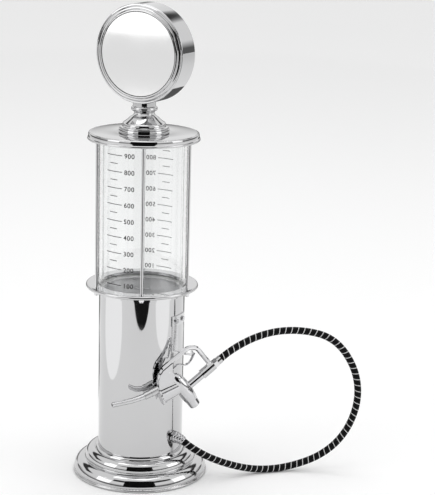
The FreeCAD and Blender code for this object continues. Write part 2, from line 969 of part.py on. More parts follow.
def nozzle_block():
    """Front of the casting, an oval that narrows towards the valve."""
    slope = math.degrees(math.atan2(block_back[1] - block_front[1], block_back[0] - block_front[0]))
    return Part.makeLoft([
        oval(flat_point(block_front), slope, block_half_height, block_half_width),
        oval(flat_point(block_back), slope, block_half_height - 1.2, block_half_width + 0.2),
    ], True, False)


def nozzle_nose_flange():
    """Flared flange at the front of the casting."""
    slope = math.degrees(math.atan2(block_back[1] - block_front[1], block_back[0] - block_front[0]))
    back = flat_point(block_front)
    front = back - slope_vector(slope) * nose_flange_thickness
    flange = Part.makeLoft([
        oval(front, slope, block_half_height + nose_flange_rim, block_half_width + nose_flange_rim),
        oval(back, slope, block_half_height, block_half_width),
    ], True, False)
    return flange.cut(nose_bar(-10, 10, ferrule_radius + ferrule_step))


def nose_bar(near, far, radius):
    """Bar on the nose's axis, measured from its named point."""
    direction = slope_vector(nose_slope)
    return bar(flat_point(nose_point) + direction * near, direction, far - near, radius)


def web():
    """Flat web between the block, the guard and the valve housing."""
    corners = [(-2.6, 104.0), (-3.2, 116.0), (-1.6, 122.0), (1.4, 126.4), (11.8, 133.8), (12.1, 124.0),
               (17.0, 116.0), (17.0, 104.0), (-2.6, 104.0)]
    flat = Part.Face(Part.makePolygon([Vector(x, y, -web_half_thickness) for x, y in corners]))
    return flat.extrude(Vector(0, 0, 2 * web_half_thickness))


def housing():
    """Teardrop valve housing."""
    full = housing_radius
    return turned_on([
        (0, 0),
        (2.6, 0),
        (full - 1.2, 8.0, 0.6),
        (full, 20.0, 0.4),
        (full - 1.4, housing_length, 0.5),
        (0, housing_length),
    ], housing_point(0), slope_vector(housing_slope))


def trigger_slot():
    """Room for the trigger's root and its cam, from rest to full squeeze."""
    pivot = flat_point(trigger_pivot)
    half = trigger_width / 2 + slot_gap
    root = bar(pivot - Vector(0, 0, half), UP, 2 * half, trigger_root_radius + slot_gap)
    fan = [pivot]
    for degrees in range(-68, 61, 16):
        fan.append(pivot + slope_vector(degrees) * 9.5)
    fan.append(pivot)
    fan = [point - Vector(0, 0, half) for point in fan]
    sweep = Part.Face(Part.makePolygon(fan)).extrude(Vector(0, 0, 2 * half))
    return root.fuse(sweep)


def nozzle_body():
    """Chromed casting: block, web, valve housing and grip, bored for the drink."""
    grip_start = grip_point(ferrule_end_length + hose_nut_length)
    grip = bar(grip_start, slope_vector(grip_slope) * -1, grip_length, grip_radius)
    solid = nozzle_block().fuse([web(), housing(), grip])
    valve = slope_vector(housing_slope)
    grip_way = slope_vector(grip_slope)
    cuts = [
        bar(housing_point(chamber_start), valve, housing_length - chamber_start + 1, chamber_radius),
        bar(housing_point(-1), valve, chamber_start + 2, stem_radius + running_gap),
        bar(grip_point(0), grip_way * -1, 44, grip_bore),
        nose_bar(spout_depth, spout_depth + 18.0, spout_bore),
        nose_bar(-10.0, spout_depth, spout_root_radius),
        trigger_slot(),
        bar(flat_point(trigger_pivot) - Vector(0, 0, 6), UP, 12, pin_radius),
        nozzle_guard(),
        nozzle_nose_flange(),
        ferrules(),
    ]
    for tool in cuts:
        solid = solid.cut(tool)
    return solid


def spout_points():
    """The spout's centre line, from its tip to its root inside the casting."""
    root = flat_point(nose_point) + slope_vector(nose_slope) * spout_depth
    return [flat_point(spout_tip), flat_point(spout_corner), root]


def spout_core():
    """The spout without its bore: a bent bar that widens towards the nozzle."""
    points = spout_points()
    return rounded_path(points)[0].makePipeShell([
        round_section(points[0], points[1] - points[0], spout_tip_radius),
        round_section(points[2], slope_vector(nose_slope), spout_root_radius),
    ], True, False)


def spout():
    """Bent spout that widens towards the nozzle."""
    points = spout_points()
    bore = round_section(points[0], points[1] - points[0], spout_bore)
    return spout_core().cut(carried(rounded_path(points)[0], bore))


def ferrules():
    """Two stepped collars where the spout enters the casting."""
    narrow = nose_bar(-2 * ferrule_length, -ferrule_length, ferrule_radius)
    wide = nose_bar(-ferrule_length, 1.5, ferrule_radius + ferrule_step)
    return narrow.fuse(wide).removeSplitter()


def spout_ferrules():
    """The collars with their bore."""
    return ferrules().cut(spout_core())


def grip_band():
    """Wider sleeve on the grip that the guard's rear leg meets."""
    start = grip_point(ferrule_end_length + hose_nut_length)
    return pipe(start, slope_vector(grip_slope) * -1, grip_band_length, grip_radius, grip_band_radius)


def hose_nut():
    """Hexagon nut between the grip and the hose's ferrule."""
    start = grip_point(ferrule_end_length + hose_nut_length)
    way = slope_vector(grip_slope)
    nut = hexagon(start, way, hose_nut_length, grip_band_radius)
    return nut.cut(bar(start, way, hose_nut_length, grip_bore))


def hose_ferrule():
    """Crimped sleeve that the hose ends in."""
    start = grip_point(ferrule_end_length)
    return pipe(start, slope_vector(grip_slope), ferrule_end_length, grip_bore, hose_radius + 0.6)


def valve_seat():
    """Ring that the valve's seal closes on."""
    start = housing_point(chamber_start)
    return pipe(start, slope_vector(housing_slope), valve_seat_thickness, stem_radius + 1.2, chamber_radius)


def valve_stem():
    """Plunger under the trigger's cam, with its seal's shoulder."""
    valve = slope_vector(housing_slope)
    head = bar(housing_point(-seat_gap), valve, stem_head_height, stem_head_radius)
    stem = bar(housing_point(-seat_gap), valve, stem_length, stem_radius)
    return head.fuse(stem).removeSplitter()


def valve_seal():
    """Rubber disc on the stem."""
    start = housing_point(chamber_start + valve_seat_thickness + seat_gap)
    return pipe(start, slope_vector(housing_slope), valve_seal_thickness, stem_radius, chamber_radius - 0.5)


def valve_spring():
    """Coil between the seal and the end cap that lifts the stem and returns the trigger."""
    clearance = spring_wire_radius + running_gap
    start = chamber_start + valve_seat_thickness + seat_gap + valve_seal_thickness + clearance
    height = housing_length - valve_cap_spigot - clearance - start
    helix = Part.makeHelix(spring_pitch, height, spring_radius)
    first = Vector(spring_radius, 0, 0)
    heading = Vector(0, 2 * math.pi * spring_radius, spring_pitch)
    coil = Part.Wire(helix).makePipeShell([round_section(first, heading, spring_wire_radius)], True, True)
    turn = FreeCAD.Rotation(UP, slope_vector(housing_slope))
    coil.Placement = FreeCAD.Placement(housing_point(start), turn)
    return coil


def valve_cap():
    """Screwed end cap of the valve housing."""
    return turned_on([
        (0, -valve_cap_spigot),
        (chamber_radius, -valve_cap_spigot),
        (chamber_radius, 0),
        (valve_cap_radius + 0.2, 0),
        (valve_cap_radius, valve_cap_length - 1.0),
        (valve_cap_radius - 1.0, valve_cap_length, 0.3),
        (0, valve_cap_length),
    ], housing_point(housing_length), slope_vector(housing_slope))


def trigger():
    """Wavy lever on its pin, with a small cam that presses the stem."""
    pivot = flat_point(trigger_pivot)
    corners = [pivot, Vector(14.0, 127.2, 0), Vector(18.6, 131.4, 0), Vector(28.4, 129.0, 0),
               Vector(33.6, 133.8, 0), Vector(37.4, 141.4, 0)]
    path = rounded_path(corners)[0]
    first = corners[1] - corners[0]
    slope = math.degrees(math.atan2(first.y, first.x))
    lever = planar_strip(path, corners[0], slope, trigger_thickness, trigger_width)
    low = Vector(0, 0, -trigger_width / 2)
    root = bar(pivot + low, UP, trigger_width, trigger_root_radius)
    cam_centre = pivot + Vector(cam_reach[0], cam_reach[1], 0)
    cam = bar(cam_centre + low, UP, trigger_width, cam_radius)
    arm_way = cam_centre - pivot
    aside = Vector(-arm_way.y, arm_way.x, 0).normalize() * cam_radius
    arm = Part.Face(Part.makePolygon([
        pivot + low + aside, pivot + low - aside, cam_centre + low - aside, cam_centre + low + aside,
        pivot + low + aside])).extrude(Vector(0, 0, trigger_width))
    solid = lever.fuse([root, cam, arm]).removeSplitter()
    return solid.cut(bar(pivot - Vector(0, 0, 6), UP, 12, pin_radius + running_gap))


def trigger_pin():
    """Pin that the trigger turns on, flush with the web."""
    pivot = flat_point(trigger_pivot)
    return bar(pivot - Vector(0, 0, web_half_thickness), UP, 2 * web_half_thickness, pin_radius)


# ---------------------------------------------------------------- all pieces

save("foot_pad", foot_pad())
save("base_plate", base_plate())
save("base_weight", base_weight())
save("base_shell", base_shell())
save("base_screws", base_screws())
save("neck_ring", neck_ring())
save("body_foot_plate", body_foot_plate())
save("body_tube", body_tube())
save("collar", collar())
save("floor_gasket", flat_gasket(collar_bottom + collar_web))
save("canister_floor", canister_floor())
save("wall_gasket", flat_gasket(floor_top))
save("drain_spigot", drain_spigot())
save("drain_nut", drain_nut())
save("feed_tube", feed_tube())
save("outlet_fitting", outlet_fitting())
save("outlet_gasket", outlet_gasket())
save("outlet_nut", outlet_nut())
save("hose_boot", hose_boot())
save("hose", hose())
save("canister", canister())
save("cap_gasket", flat_gasket(canister_top))
save("cap_liner", cap_liner())
save("cap", cap())
save("tie_rods", tie_rods())
save("rod_nuts", rod_nuts())
save("rod_feet", rod_feet())
save("bracket", bracket())
save("bracket_screws", bracket_screws())
save("bracket_nuts", bracket_nuts())

save("fill_plug", fill_plug())
save("plug_ring", plug_ring())
save("finial_pedestal", finial_pedestal())
save("finial_stud", finial_stud())
save("disc_core", disc_core())
save("disc_front_shell", disc_front_shell())
save("disc_back_shell", disc_back_shell())
save("bezel_front", facing_front(bezel()))
save("bezel_back", facing_back(bezel()))
save("mirror_seals", Part.makeCompound([facing_front(mirror_seal()), facing_back(mirror_seal())]))
save("mirror_front", facing_front(mirror()))
save("mirror_back", facing_back(mirror()))

save("nozzle_body", placed(nozzle_body()))
save("nozzle_nose_flange", placed(nozzle_nose_flange()))
save("spout", placed(spout()))
save("spout_ferrules", placed(spout_ferrules()))
save("nozzle_guard", placed(nozzle_guard()))
save("grip_band", placed(grip_band()))
save("hose_nut", placed(hose_nut()))
save("hose_ferrule", placed(hose_ferrule()))
save("valve_seat", placed(valve_seat()))
save("valve_cap", placed(valve_cap()))
save("valve_spring", placed(valve_spring()))
save("valve_stem", placed(valve_stem()))
save("valve_seal", placed(valve_seal()))
save("trigger", placed(trigger()))
save("trigger_pin", placed(trigger_pin()))
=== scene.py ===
"""Studio view of a chromed tabletop drinks dispenser shaped like a visible-measure gas pump."""
import json
import math

import bpy
import numpy as np
from mathutils import Matrix, Vector


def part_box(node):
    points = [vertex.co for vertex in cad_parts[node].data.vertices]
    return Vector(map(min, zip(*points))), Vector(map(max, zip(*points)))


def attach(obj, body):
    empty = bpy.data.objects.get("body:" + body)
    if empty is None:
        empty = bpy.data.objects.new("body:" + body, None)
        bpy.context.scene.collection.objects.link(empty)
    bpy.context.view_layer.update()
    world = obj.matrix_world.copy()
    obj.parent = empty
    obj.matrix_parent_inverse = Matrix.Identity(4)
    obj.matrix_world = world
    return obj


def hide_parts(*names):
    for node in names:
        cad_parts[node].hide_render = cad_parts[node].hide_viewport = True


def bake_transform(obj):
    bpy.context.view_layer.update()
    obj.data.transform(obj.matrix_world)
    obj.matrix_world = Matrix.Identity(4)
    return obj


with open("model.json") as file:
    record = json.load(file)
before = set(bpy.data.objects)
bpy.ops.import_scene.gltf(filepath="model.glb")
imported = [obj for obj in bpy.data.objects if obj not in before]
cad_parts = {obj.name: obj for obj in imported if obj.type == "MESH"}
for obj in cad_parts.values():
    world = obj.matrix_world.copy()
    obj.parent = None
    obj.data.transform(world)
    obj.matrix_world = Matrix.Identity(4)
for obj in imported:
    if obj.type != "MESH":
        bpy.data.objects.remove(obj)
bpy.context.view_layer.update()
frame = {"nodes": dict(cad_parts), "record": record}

nodes = frame["nodes"]

# ---------------------------------------------------------------- driving sizes, in metres

HOSE_ROUTE = [
    (0.0560, -0.0060, 0.0432),
    (0.0708, -0.0012, 0.0324),
    (0.0915, 0.0215, 0.0165),
    (0.1125, 0.0510, 0.0037),
    (0.1390, 0.0760, 0.0037),
    (0.1705, 0.0960, 0.0175),
    (0.1920, 0.1090, 0.0435),
    (0.2020, 0.1160, 0.0810),
    (0.1955, 0.1150, 0.1170),
    (0.1755, 0.1025, 0.1485),
    (0.1455, 0.0815, 0.1580),
    (0.1170, 0.0585, 0.1560),
    (0.0926, 0.0320, 0.1423),
    (0.0837625, 0.0204242, 0.1317),
]
HOSE_RADIUS = 0.0037
HELIX_PITCH = 0.0066
BOOT_ROUTE = [(0.04664, -0.006555, 0.0465), (0.05206, -0.00732, 0.0465), (0.0560, -0.0060, 0.0432)]
BOOT_START = 0.0056
BOOT_END = 0.0040
BOOT_RIBS = 4
BOOT_RIB_HEIGHT = 0.0008
BOOT_LIP = 0.0001
RINGS_PER_RIB = 24
ROUTE_STEPS = 100
HOSE_PLANE_NORMAL = (0.52, -0.85, 0.0)

SPRING_AXIS = (0.344806, 0.44936, -0.824126)
SPRING_TURNS = 6.4
SPRING_LENGTH = 0.0154
SPRING_RADIUS = 0.0032
SPRING_WIRE = 0.00045
SPRING_RINGS = 180

CAMERA_PLACE = (0.814, -1.382, 0.6437)
CAMERA_RIGHT = (0.8822, 0.4704, 0.024)
CAMERA_UP = (-0.1341, 0.202, 0.9702)
CAMERA_FORWARD = (-0.4515, 0.8591, -0.2412)
CAMERA_LENS = 115.95

DISC_CORNERS = 64
BAND_HEIGHT = 0.55

SCALE_TOP_MARK = 0.3472
SCALE_STEP = 0.01674
SCALE_BLOCKS = (0.0, 188.0)
MARKS_PER_BLOCK = 17
TOP_NUMBER = 900
HALF_STEP_NUMBER = 50
INK_GAP = 0.00004
LONG_MARK = (-112.0, -87.5)
SHORT_MARK = (-106.4, -94.2)
NUMBER_START = -84.6
NUMBER_SIZE = 0.0067
NUMBER_WEIGHT = 0.00011
MARK_THICKNESS = 0.00072


# ---------------------------------------------------------------- camera, floor and light

def add_camera():
    """A long lens a little above and to the right of the front."""
    data = bpy.data.cameras.new("camera")
    data.sensor_fit = "VERTICAL"
    data.sensor_height = 36.0
    data.lens = CAMERA_LENS
    camera = bpy.data.objects.new("camera", data)
    bpy.context.scene.collection.objects.link(camera)
    right, up, forward = Vector(CAMERA_RIGHT), Vector(CAMERA_UP), Vector(CAMERA_FORWARD)
    turn = Matrix((right, up, -forward)).transposed().to_4x4()
    camera.matrix_world = Matrix.Translation(CAMERA_PLACE) @ turn
    bpy.context.scene.camera = camera
    return camera


def aimed(place, look_at, axis):
    """The placement that puts a thing at a point with one of its axes towards another point."""
    facing = Vector(look_at) - Vector(place)
    return Matrix.Translation(place) @ facing.to_track_quat(axis, "Y").to_matrix().to_4x4()


def stage_panel(name, size, place, look_at, material):
    """A flat rectangle that faces a point: the floor or a studio card."""
    x, y = size[0] / 2, size[1] / 2
    mesh = bpy.data.meshes.new(name)
    mesh.from_pydata([(-x, -y, 0), (x, -y, 0), (x, y, 0), (-x, y, 0)], [], [(0, 1, 2, 3)])
    panel = bpy.data.objects.new(name, mesh)
    bpy.context.scene.collection.objects.link(panel)
    panel.matrix_world = aimed(place, look_at, "Z")
    mesh.materials.append(material)
    return panel


def area_light(name, size, place, look_at, power):
    """A soft rectangular lamp."""
    data = bpy.data.lights.new(name, "AREA")
    data.shape = "RECTANGLE"
    data.size, data.size_y = size
    data.energy = power
    lamp = bpy.data.objects.new(name, data)
    bpy.context.scene.collection.objects.link(lamp)
    lamp.matrix_world = aimed(place, look_at, "-Z")
    return lamp


def plain_material(name, colour, roughness):
    """A flat, even surface for the studio."""
    material = bpy.data.materials.new(name)
    material.use_nodes = True
    shader = material.node_tree.nodes["Principled BSDF"]
    shader.inputs["Base Color"].default_value = (*colour, 1)
    shader.inputs["Roughness"].default_value = roughness
    shader.inputs["Specular IOR Level"].default_value = 0.1
    return material


def show_only_in_mirrors(card):
    """Lets polished metal mirror a card that neither the camera nor the floor sees."""
    card.visible_camera = False
    card.visible_diffuse = False
    card.visible_shadow = False
    card.visible_transmission = False


def painted_shade_disc(name, radius, place, material):
    """A dark disc that lies on the floor and shows only in mirrors: painted shade on the floor."""
    mesh = bpy.data.meshes.new(name)
    turn = np.linspace(0, 2 * math.pi, DISC_CORNERS + 1)[:-1]
    circle = np.stack([np.cos(turn), np.sin(turn), 0 * turn], 1)
    rim = np.array(place) + radius * circle
    mesh.from_pydata(rim.tolist(), [], [list(range(DISC_CORNERS))])
    mesh.materials.append(material)
    opening = bpy.data.objects.new(name, mesh)
    bpy.context.scene.collection.objects.link(opening)
    show_only_in_mirrors(opening)
    return opening


def floor_lamp(name, radius, place, power):
    """A round lamp that lies on the floor out of view and shines up.

    The column mirrors it as a pool of light."""
    data = bpy.data.lights.new(name, "AREA")
    data.shape = "DISK"
    data.size = 2 * radius
    data.energy = power
    lamp = bpy.data.objects.new(name, data)
    bpy.context.scene.collection.objects.link(lamp)
    lamp.matrix_world = Matrix.Translation(place) @ Matrix.Rotation(math.pi, 4, "X")
    return lamp


def add_surround():
    """White overhead with one dark band round it, grey at the horizon, so chrome has contrast."""
    world = bpy.data.worlds.new("surround")
    bpy.context.scene.world = world
    world.use_nodes = True
    tree = world.node_tree
    direction = tree.nodes.new("ShaderNodeTexCoord")
    split = tree.nodes.new("ShaderNodeSeparateXYZ")
    tree.links.new(direction.outputs["Generated"], split.inputs[0])
    mirrored = ranged(tree, split.outputs["Z"], 0.06, 0.20, 0.14, 1.0)
    off_band = maths(tree, "ABSOLUTE", maths(tree, "SUBTRACT", split.outputs["Z"], BAND_HEIGHT))
    mirrored = maths(tree, "MULTIPLY", mirrored, ranged(tree, off_band, 0.05, 0.08, 0.05, 1.0))
    seen = tree.nodes.new("ShaderNodeLightPath").outputs["Is Camera Ray"]
    background = tree.nodes["Background"]
    tree.links.new(maths(tree, "MAXIMUM", mirrored, seen), background.inputs["Strength"])
    background.inputs["Color"].default_value = (1, 1, 1, 1)


def add_studio():
    """White floor, lamps at both sides and overhead, a dark opening at the camera, and painted shade on
    the floor towards the camera and behind.
    """
    add_surround()
    white = plain_material("floor_white", (0.96, 0.96, 0.96), 0.8)
    # Black of the camera card and of the painted shade on the floor towards the camera.
    dark = plain_material("card_black", (0.004, 0.004, 0.004), 0.9)
    # Grey of the painted shade on the floor behind the dispenser.
    shade = plain_material("painted_shade_grey", (0.10, 0.10, 0.10), 0.9)
    toward = Vector((CAMERA_PLACE[0], CAMERA_PLACE[1], 0)).normalized()
    side = Vector((-toward.y, toward.x, 0))
    up = Vector((0, 0, 1))
    stage_panel("floor", (16, 16), (0, 0, 0), (0, 0, 1), white)
    # Painted shade: black discs on the floor towards the camera, seen only in mirrors.
    painted_shade_disc("painted_shade_front", 0.36, toward * 0.95 + up * 0.0006, dark)
    for index in range(4):
        reach = 1.05 + 0.25 * index
        place = toward * reach + up * (0.0007 + 0.0001 * index)
        painted_shade_disc("floor_gap_%d" % index, 0.42 + 0.12 * index, place, dark)
    card = stage_panel("camera_card", (2.0, 1.7), toward * 1.95 + up * 0.85,
                       toward * 1.0 + up * 0.85, dark)
    show_only_in_mirrors(card)
    # Painted shade: grey discs on the floor behind the dispenser, seen only in mirrors.
    for index in range(5):
        place = toward * (-0.42 - 0.5 * index) + up * (0.0006 + 0.0001 * index)
        painted_shade_disc("far_shade_%d" % index, 0.22 + 0.26 * index, place, shade)
    area_light("key_left", (0.9, 1.5), toward * 0.7 - side * 1.5 + up, up * 0.25, 4.5)
    area_light("fill_right", (0.8, 1.3), toward * 0.5 + side * 1.6 + up * 0.9, up * 0.25, 3.5)
    area_light("ceiling", (1.6, 1.6), up * 2.4 - toward * 0.4, -toward * 0.4, 10.5)
    floor_lamp("pool_left", 0.34, toward * 0.10 - side * 0.68 + up * 0.004, 0.34)
    floor_lamp("pool_right", 0.26, toward * 0.40 + side * 0.62 + up * 0.004, 0.2)


# ---------------------------------------------------------------- shader helpers

def node_group(name, inputs, outputs):
    """An empty group with value inputs and outputs."""
    group = bpy.data.node_groups.new(name, "ShaderNodeTree")
    for title, kind, value in inputs:
        socket = group.interface.new_socket(title, in_out="INPUT", socket_type=kind)
        if value is not None:
            socket.default_value = value
    for title, kind in outputs:
        group.interface.new_socket(title, in_out="OUTPUT", socket_type=kind)
    return group


def maths(tree, operation, first, second=None, clamp=False):
    """A Math node fed by sockets or numbers."""
    node = tree.nodes.new("ShaderNodeMath")
    node.operation = operation
    node.use_clamp = clamp
    for index, value in enumerate((first, second)):
        if value is None:
            continue
        if isinstance(value, (int, float)):
            node.inputs[index].default_value = value
        else:
            tree.links.new(value, node.inputs[index])
    return node.outputs[0]


def noise(tree, vector, scale, detail=3.0, roughness=0.55):
    """A Noise Texture's value."""
    node = tree.nodes.new("ShaderNodeTexNoise")
    node.inputs["Scale"].default_value = scale
    node.inputs["Detail"].default_value = detail
    node.inputs["Roughness"].default_value = roughness
    tree.links.new(vector, node.inputs["Vector"])
    return node.outputs["Fac"]


def stretched(tree, vector, scale):
    """The same coordinates scaled unevenly, for brushed grain."""
    node = tree.nodes.new("ShaderNodeMapping")
    node.inputs["Scale"].default_value = scale
    tree.links.new(vector, node.inputs["Vector"])
    return node.outputs["Vector"]


def ranged(tree, value, low, high, out_low, out_high):
    """A Map Range node."""
    node = tree.nodes.new("ShaderNodeMapRange")
    limits = {"From Min": low, "From Max": high, "To Min": out_low, "To Max": out_high}
    for title, number in limits.items():
        node.inputs[title].default_value = number
    tree.links.new(value, node.inputs["Value"])
    return node.outputs["Result"]


def make_polish_group():
    """Fine wiping scratches and faint smudges: Object coordinates in, a mask and a height out."""
    group = node_group("polish_marks", [("Vector", "NodeSocketVector", None)],
                       [("Smudge", "NodeSocketFloat"), ("Scratch", "NodeSocketFloat")])
    tree = group
    entry = tree.nodes.new("NodeGroupInput")
    leave = tree.nodes.new("NodeGroupOutput")
    smudge = noise(tree, entry.outputs["Vector"], 26.0, 4.0)
    smudge = ranged(tree, smudge, 0.42, 0.72, 0.0, 1.0)
    hair = noise(tree, stretched(tree, entry.outputs["Vector"], (1500.0, 1500.0, 90.0)), 1.0, 2.0)
    cross = noise(tree, stretched(tree, entry.outputs["Vector"], (120.0, 160.0, 2400.0)), 1.0, 2.0)
    scratch = maths(tree, "MULTIPLY", hair, cross)
    tree.links.new(smudge, leave.inputs["Smudge"])
    tree.links.new(scratch, leave.inputs["Scratch"])
    return group


def begin(name):
    """A new material: its tree, its shader and its Object coordinates."""
    material = bpy.data.materials.new(name)
    material.use_nodes = True
    tree = material.node_tree
    coordinates = tree.nodes.new("ShaderNodeTexCoord")
    return material, tree, tree.nodes["Principled BSDF"], coordinates.outputs["Object"]


def add_bump(tree, shader, height, strength, distance):
    """Feeds a height into the shader's normal."""
    bump = tree.nodes.new("ShaderNodeBump")
    bump.inputs["Strength"].default_value = strength
    bump.inputs["Distance"].default_value = distance
    tree.links.new(height, bump.inputs["Height"])
    tree.links.new(bump.outputs["Normal"], shader.inputs["Normal"])


def polished_metal(name, colour, roughness, wear, group):
    """Plated or polished metal with wiping marks."""
    material, tree, shader, place = begin(name)
    marks = tree.nodes.new("ShaderNodeGroup")
    marks.node_tree = group
    tree.links.new(place, marks.inputs["Vector"])
    shader.inputs["Metallic"].default_value = 1.0
    shader.inputs["Base Color"].default_value = (*colour, 1)
    rough = maths(tree, "MULTIPLY", marks.outputs["Smudge"], wear)
    tree.links.new(maths(tree, "ADD", rough, roughness), shader.inputs["Roughness"])
    add_bump(tree, shader, marks.outputs["Scratch"], 0.02, 0.00002)
    return material


def brushed_metal(name, colour, roughness, grain):
    """Metal with a fine directional grain."""
    material, tree, shader, place = begin(name)
    shader.inputs["Metallic"].default_value = 1.0
    lines = noise(tree, stretched(tree, place, grain), 1.0, 3.0)
    tone = tree.nodes.new("ShaderNodeMix")
    tone.data_type = "RGBA"
    tone.inputs["A"].default_value = (*[0.82 * part for part in colour], 1)
    tone.inputs["B"].default_value = (*colour, 1)
    tree.links.new(lines, tone.inputs["Factor"])
    tree.links.new(tone.outputs["Result"], shader.inputs["Base Color"])
    rough = ranged(tree, lines, 0.3, 0.7, roughness - 0.06, roughness + 0.08)
    tree.links.new(rough, shader.inputs["Roughness"])
    add_bump(tree, shader, lines, 0.12, 0.00005)
    return material


def spun_floor_with_painted_light(name, colour):
    """The cylinder's floor: concentric turning lines, and a painted highlight where the colour turns
    near white at the rim.
    """
    material, tree, shader, place = begin(name)
    split = tree.nodes.new("ShaderNodeSeparateXYZ")
    tree.links.new(place, split.inputs[0])
    across = maths(tree, "MULTIPLY", split.outputs["X"], split.outputs["X"])
    along = maths(tree, "MULTIPLY", split.outputs["Y"], split.outputs["Y"])
    radius = maths(tree, "SQRT", maths(tree, "ADD", across, along))
    lines = maths(tree, "SINE", maths(tree, "MULTIPLY", radius, 9000.0))
    patch = noise(tree, place, 40.0)
    # Painted highlight: the colour turns near white in a thin line at the rim.
    rim = ranged(tree, radius, 0.0385, 0.0400, 0.0, 1.0)
    tone = tree.nodes.new("ShaderNodeMix")
    tone.data_type = "RGBA"
    tone.inputs["A"].default_value = (*colour, 1)
    tone.inputs["B"].default_value = (0.9, 0.9, 0.9, 1)
    tree.links.new(rim, tone.inputs["Factor"])
    tree.links.new(tone.outputs["Result"], shader.inputs["Base Color"])
    shader.inputs["Metallic"].default_value = 0.9
    tree.links.new(ranged(tree, patch, 0.3, 0.7, 0.28, 0.42), shader.inputs["Roughness"])
    add_bump(tree, shader, lines, 0.1, 0.00003)
    return material


def clear_plastic(name):
    """Clear acrylic with faint handling marks."""
    material, tree, shader, place = begin(name)
    shader.inputs["Base Color"].default_value = (0.955, 0.96, 0.96, 1)
    shader.inputs["Transmission Weight"].default_value = 1.0
    shader.inputs["IOR"].default_value = 1.49
    haze = noise(tree, stretched(tree, place, (60.0, 60.0, 12.0)), 1.0)
    tree.links.new(ranged(tree, haze, 0.45, 0.75, 0.0, 0.025), shader.inputs["Roughness"])
    return material


def soft_plastic(name, colour, roughness, grain, bump=0.15):
    """Rubber, silicone or plastic with a fine moulded grain."""
    material, tree, shader, place = begin(name)
    cloud = noise(tree, place, grain, 3.0)
    tone = tree.nodes.new("ShaderNodeMix")
    tone.data_type = "RGBA"
    tone.inputs["A"].default_value = (*[0.85 * part for part in colour], 1)
    tone.inputs["B"].default_value = (*colour, 1)
    tree.links.new(cloud, tone.inputs["Factor"])
    tree.links.new(tone.outputs["Result"], shader.inputs["Base Color"])
    rough = ranged(tree, cloud, 0.3, 0.7, roughness - 0.06, roughness + 0.06)
    tree.links.new(rough, shader.inputs["Roughness"])
    add_bump(tree, shader, cloud, bump, 0.0001)
    return material


def cast_metal(name):
    """Rough dark casting."""
    material, tree, shader, place = begin(name)
    shader.inputs["Metallic"].default_value = 0.7
    shader.inputs["Base Color"].default_value = (0.09, 0.09, 0.1, 1)
    grains = noise(tree, place, 900.0, 5.0)
    tree.links.new(ranged(tree, grains, 0.3, 0.7, 0.5, 0.75), shader.inputs["Roughness"])
    add_bump(tree, shader, grains, 0.5, 0.0004)
    return material


def hose_material(name):
    """Satin black with a thin pale wire along the UV map, where V counts turns of the helix."""
    material, tree, shader, place = begin(name)
    sheet = tree.nodes.new("ShaderNodeUVMap")
    sheet.uv_map = "along"
    split = tree.nodes.new("ShaderNodeSeparateXYZ")
    tree.links.new(sheet.outputs["UV"], split.inputs[0])
    phase = maths(tree, "FRACT", maths(tree, "ADD", split.outputs["X"], split.outputs["Y"]))
    distance = maths(tree, "ABSOLUTE", maths(tree, "SUBTRACT", phase, 0.5))
    wire = ranged(tree, distance, 0.050, 0.064, 1.0, 0.0)
    grain = noise(tree, place, 1500.0)
    tone = tree.nodes.new("ShaderNodeMix")
    tone.data_type = "RGBA"
    tone.inputs["A"].default_value = (0.0025, 0.0025, 0.003, 1)
    tone.inputs["B"].default_value = (0.62, 0.62, 0.62, 1)
    tree.links.new(wire, tone.inputs["Factor"])
    tree.links.new(tone.outputs["Result"], shader.inputs["Base Color"])
    shader.inputs["Specular IOR Level"].default_value = 0.1
    tree.links.new(ranged(tree, grain, 0.3, 0.7, 0.42, 0.56), shader.inputs["Roughness"])
    add_bump(tree, shader, grain, 0.1, 0.0001)
    return material


def ink_material(name):
    """Printed black, slightly uneven."""
    material, tree, shader, place = begin(name)
    cloud = noise(tree, place, 900.0)
    tree.links.new(ranged(tree, cloud, 0.3, 0.7, 0.5, 0.7), shader.inputs["Roughness"])
    tone = tree.nodes.new("ShaderNodeMix")
    tone.data_type = "RGBA"
    tone.inputs["A"].default_value = (0.012, 0.012, 0.012, 1)
    tone.inputs["B"].default_value = (0.035, 0.035, 0.035, 1)
    tree.links.new(cloud, tone.inputs["Factor"])
    tree.links.new(tone.outputs["Result"], shader.inputs["Base Color"])
    return material


def make_materials():
    """One material for each of the record's slots, and the ink."""
    marks = make_polish_group()
    return {
        "chrome": polished_metal("chrome", (0.575, 0.575, 0.58), 0.02, 0.05, marks),
        "cast_chrome": polished_metal("cast_chrome", (0.62, 0.62, 0.63), 0.05, 0.07, marks),
        "boot_chrome": polished_metal("boot_chrome", (0.50, 0.50, 0.51), 0.12, 0.08, marks),
        "mirror": polished_metal("mirror", (0.86, 0.86, 0.86), 0.08, 0.05, marks),
        "clear": clear_plastic("clear"),
        "steel": brushed_metal("steel", (0.72, 0.72, 0.73), 0.2, (300.0, 300.0, 4000.0)),
        # Steel grey, darkened below the other steel as painted shade inside the cylinder.
        "floor_steel": spun_floor_with_painted_light("floor_steel", (0.36, 0.36, 0.37)),
        "weight": cast_metal("weight"),
        "black_rubber": soft_plastic("black_rubber", (0.02, 0.02, 0.02), 0.6, 1400.0),
        "hose_rubber": hose_material("hose_rubber"),
        "silicone": soft_plastic("silicone", (0.72, 0.73, 0.72), 0.4, 700.0, 0.08),
        "plug_plastic": soft_plastic("plug_plastic", (0.78, 0.78, 0.76), 0.35, 800.0, 0.08),
        "ink": ink_material("ink"),
    }


# ---------------------------------------------------------------- mesh helpers

def link_mesh(name, mesh, material, body):
    """Puts a finished mesh in the scene, on its body, with its material."""
    piece = bpy.data.objects.new(name, mesh)
    bpy.context.scene.collection.objects.link(piece)
    mesh.materials.clear()
    mesh.materials.append(material)
    mesh.shade_smooth()
    if body is not None:
        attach(piece, body)
    return piece


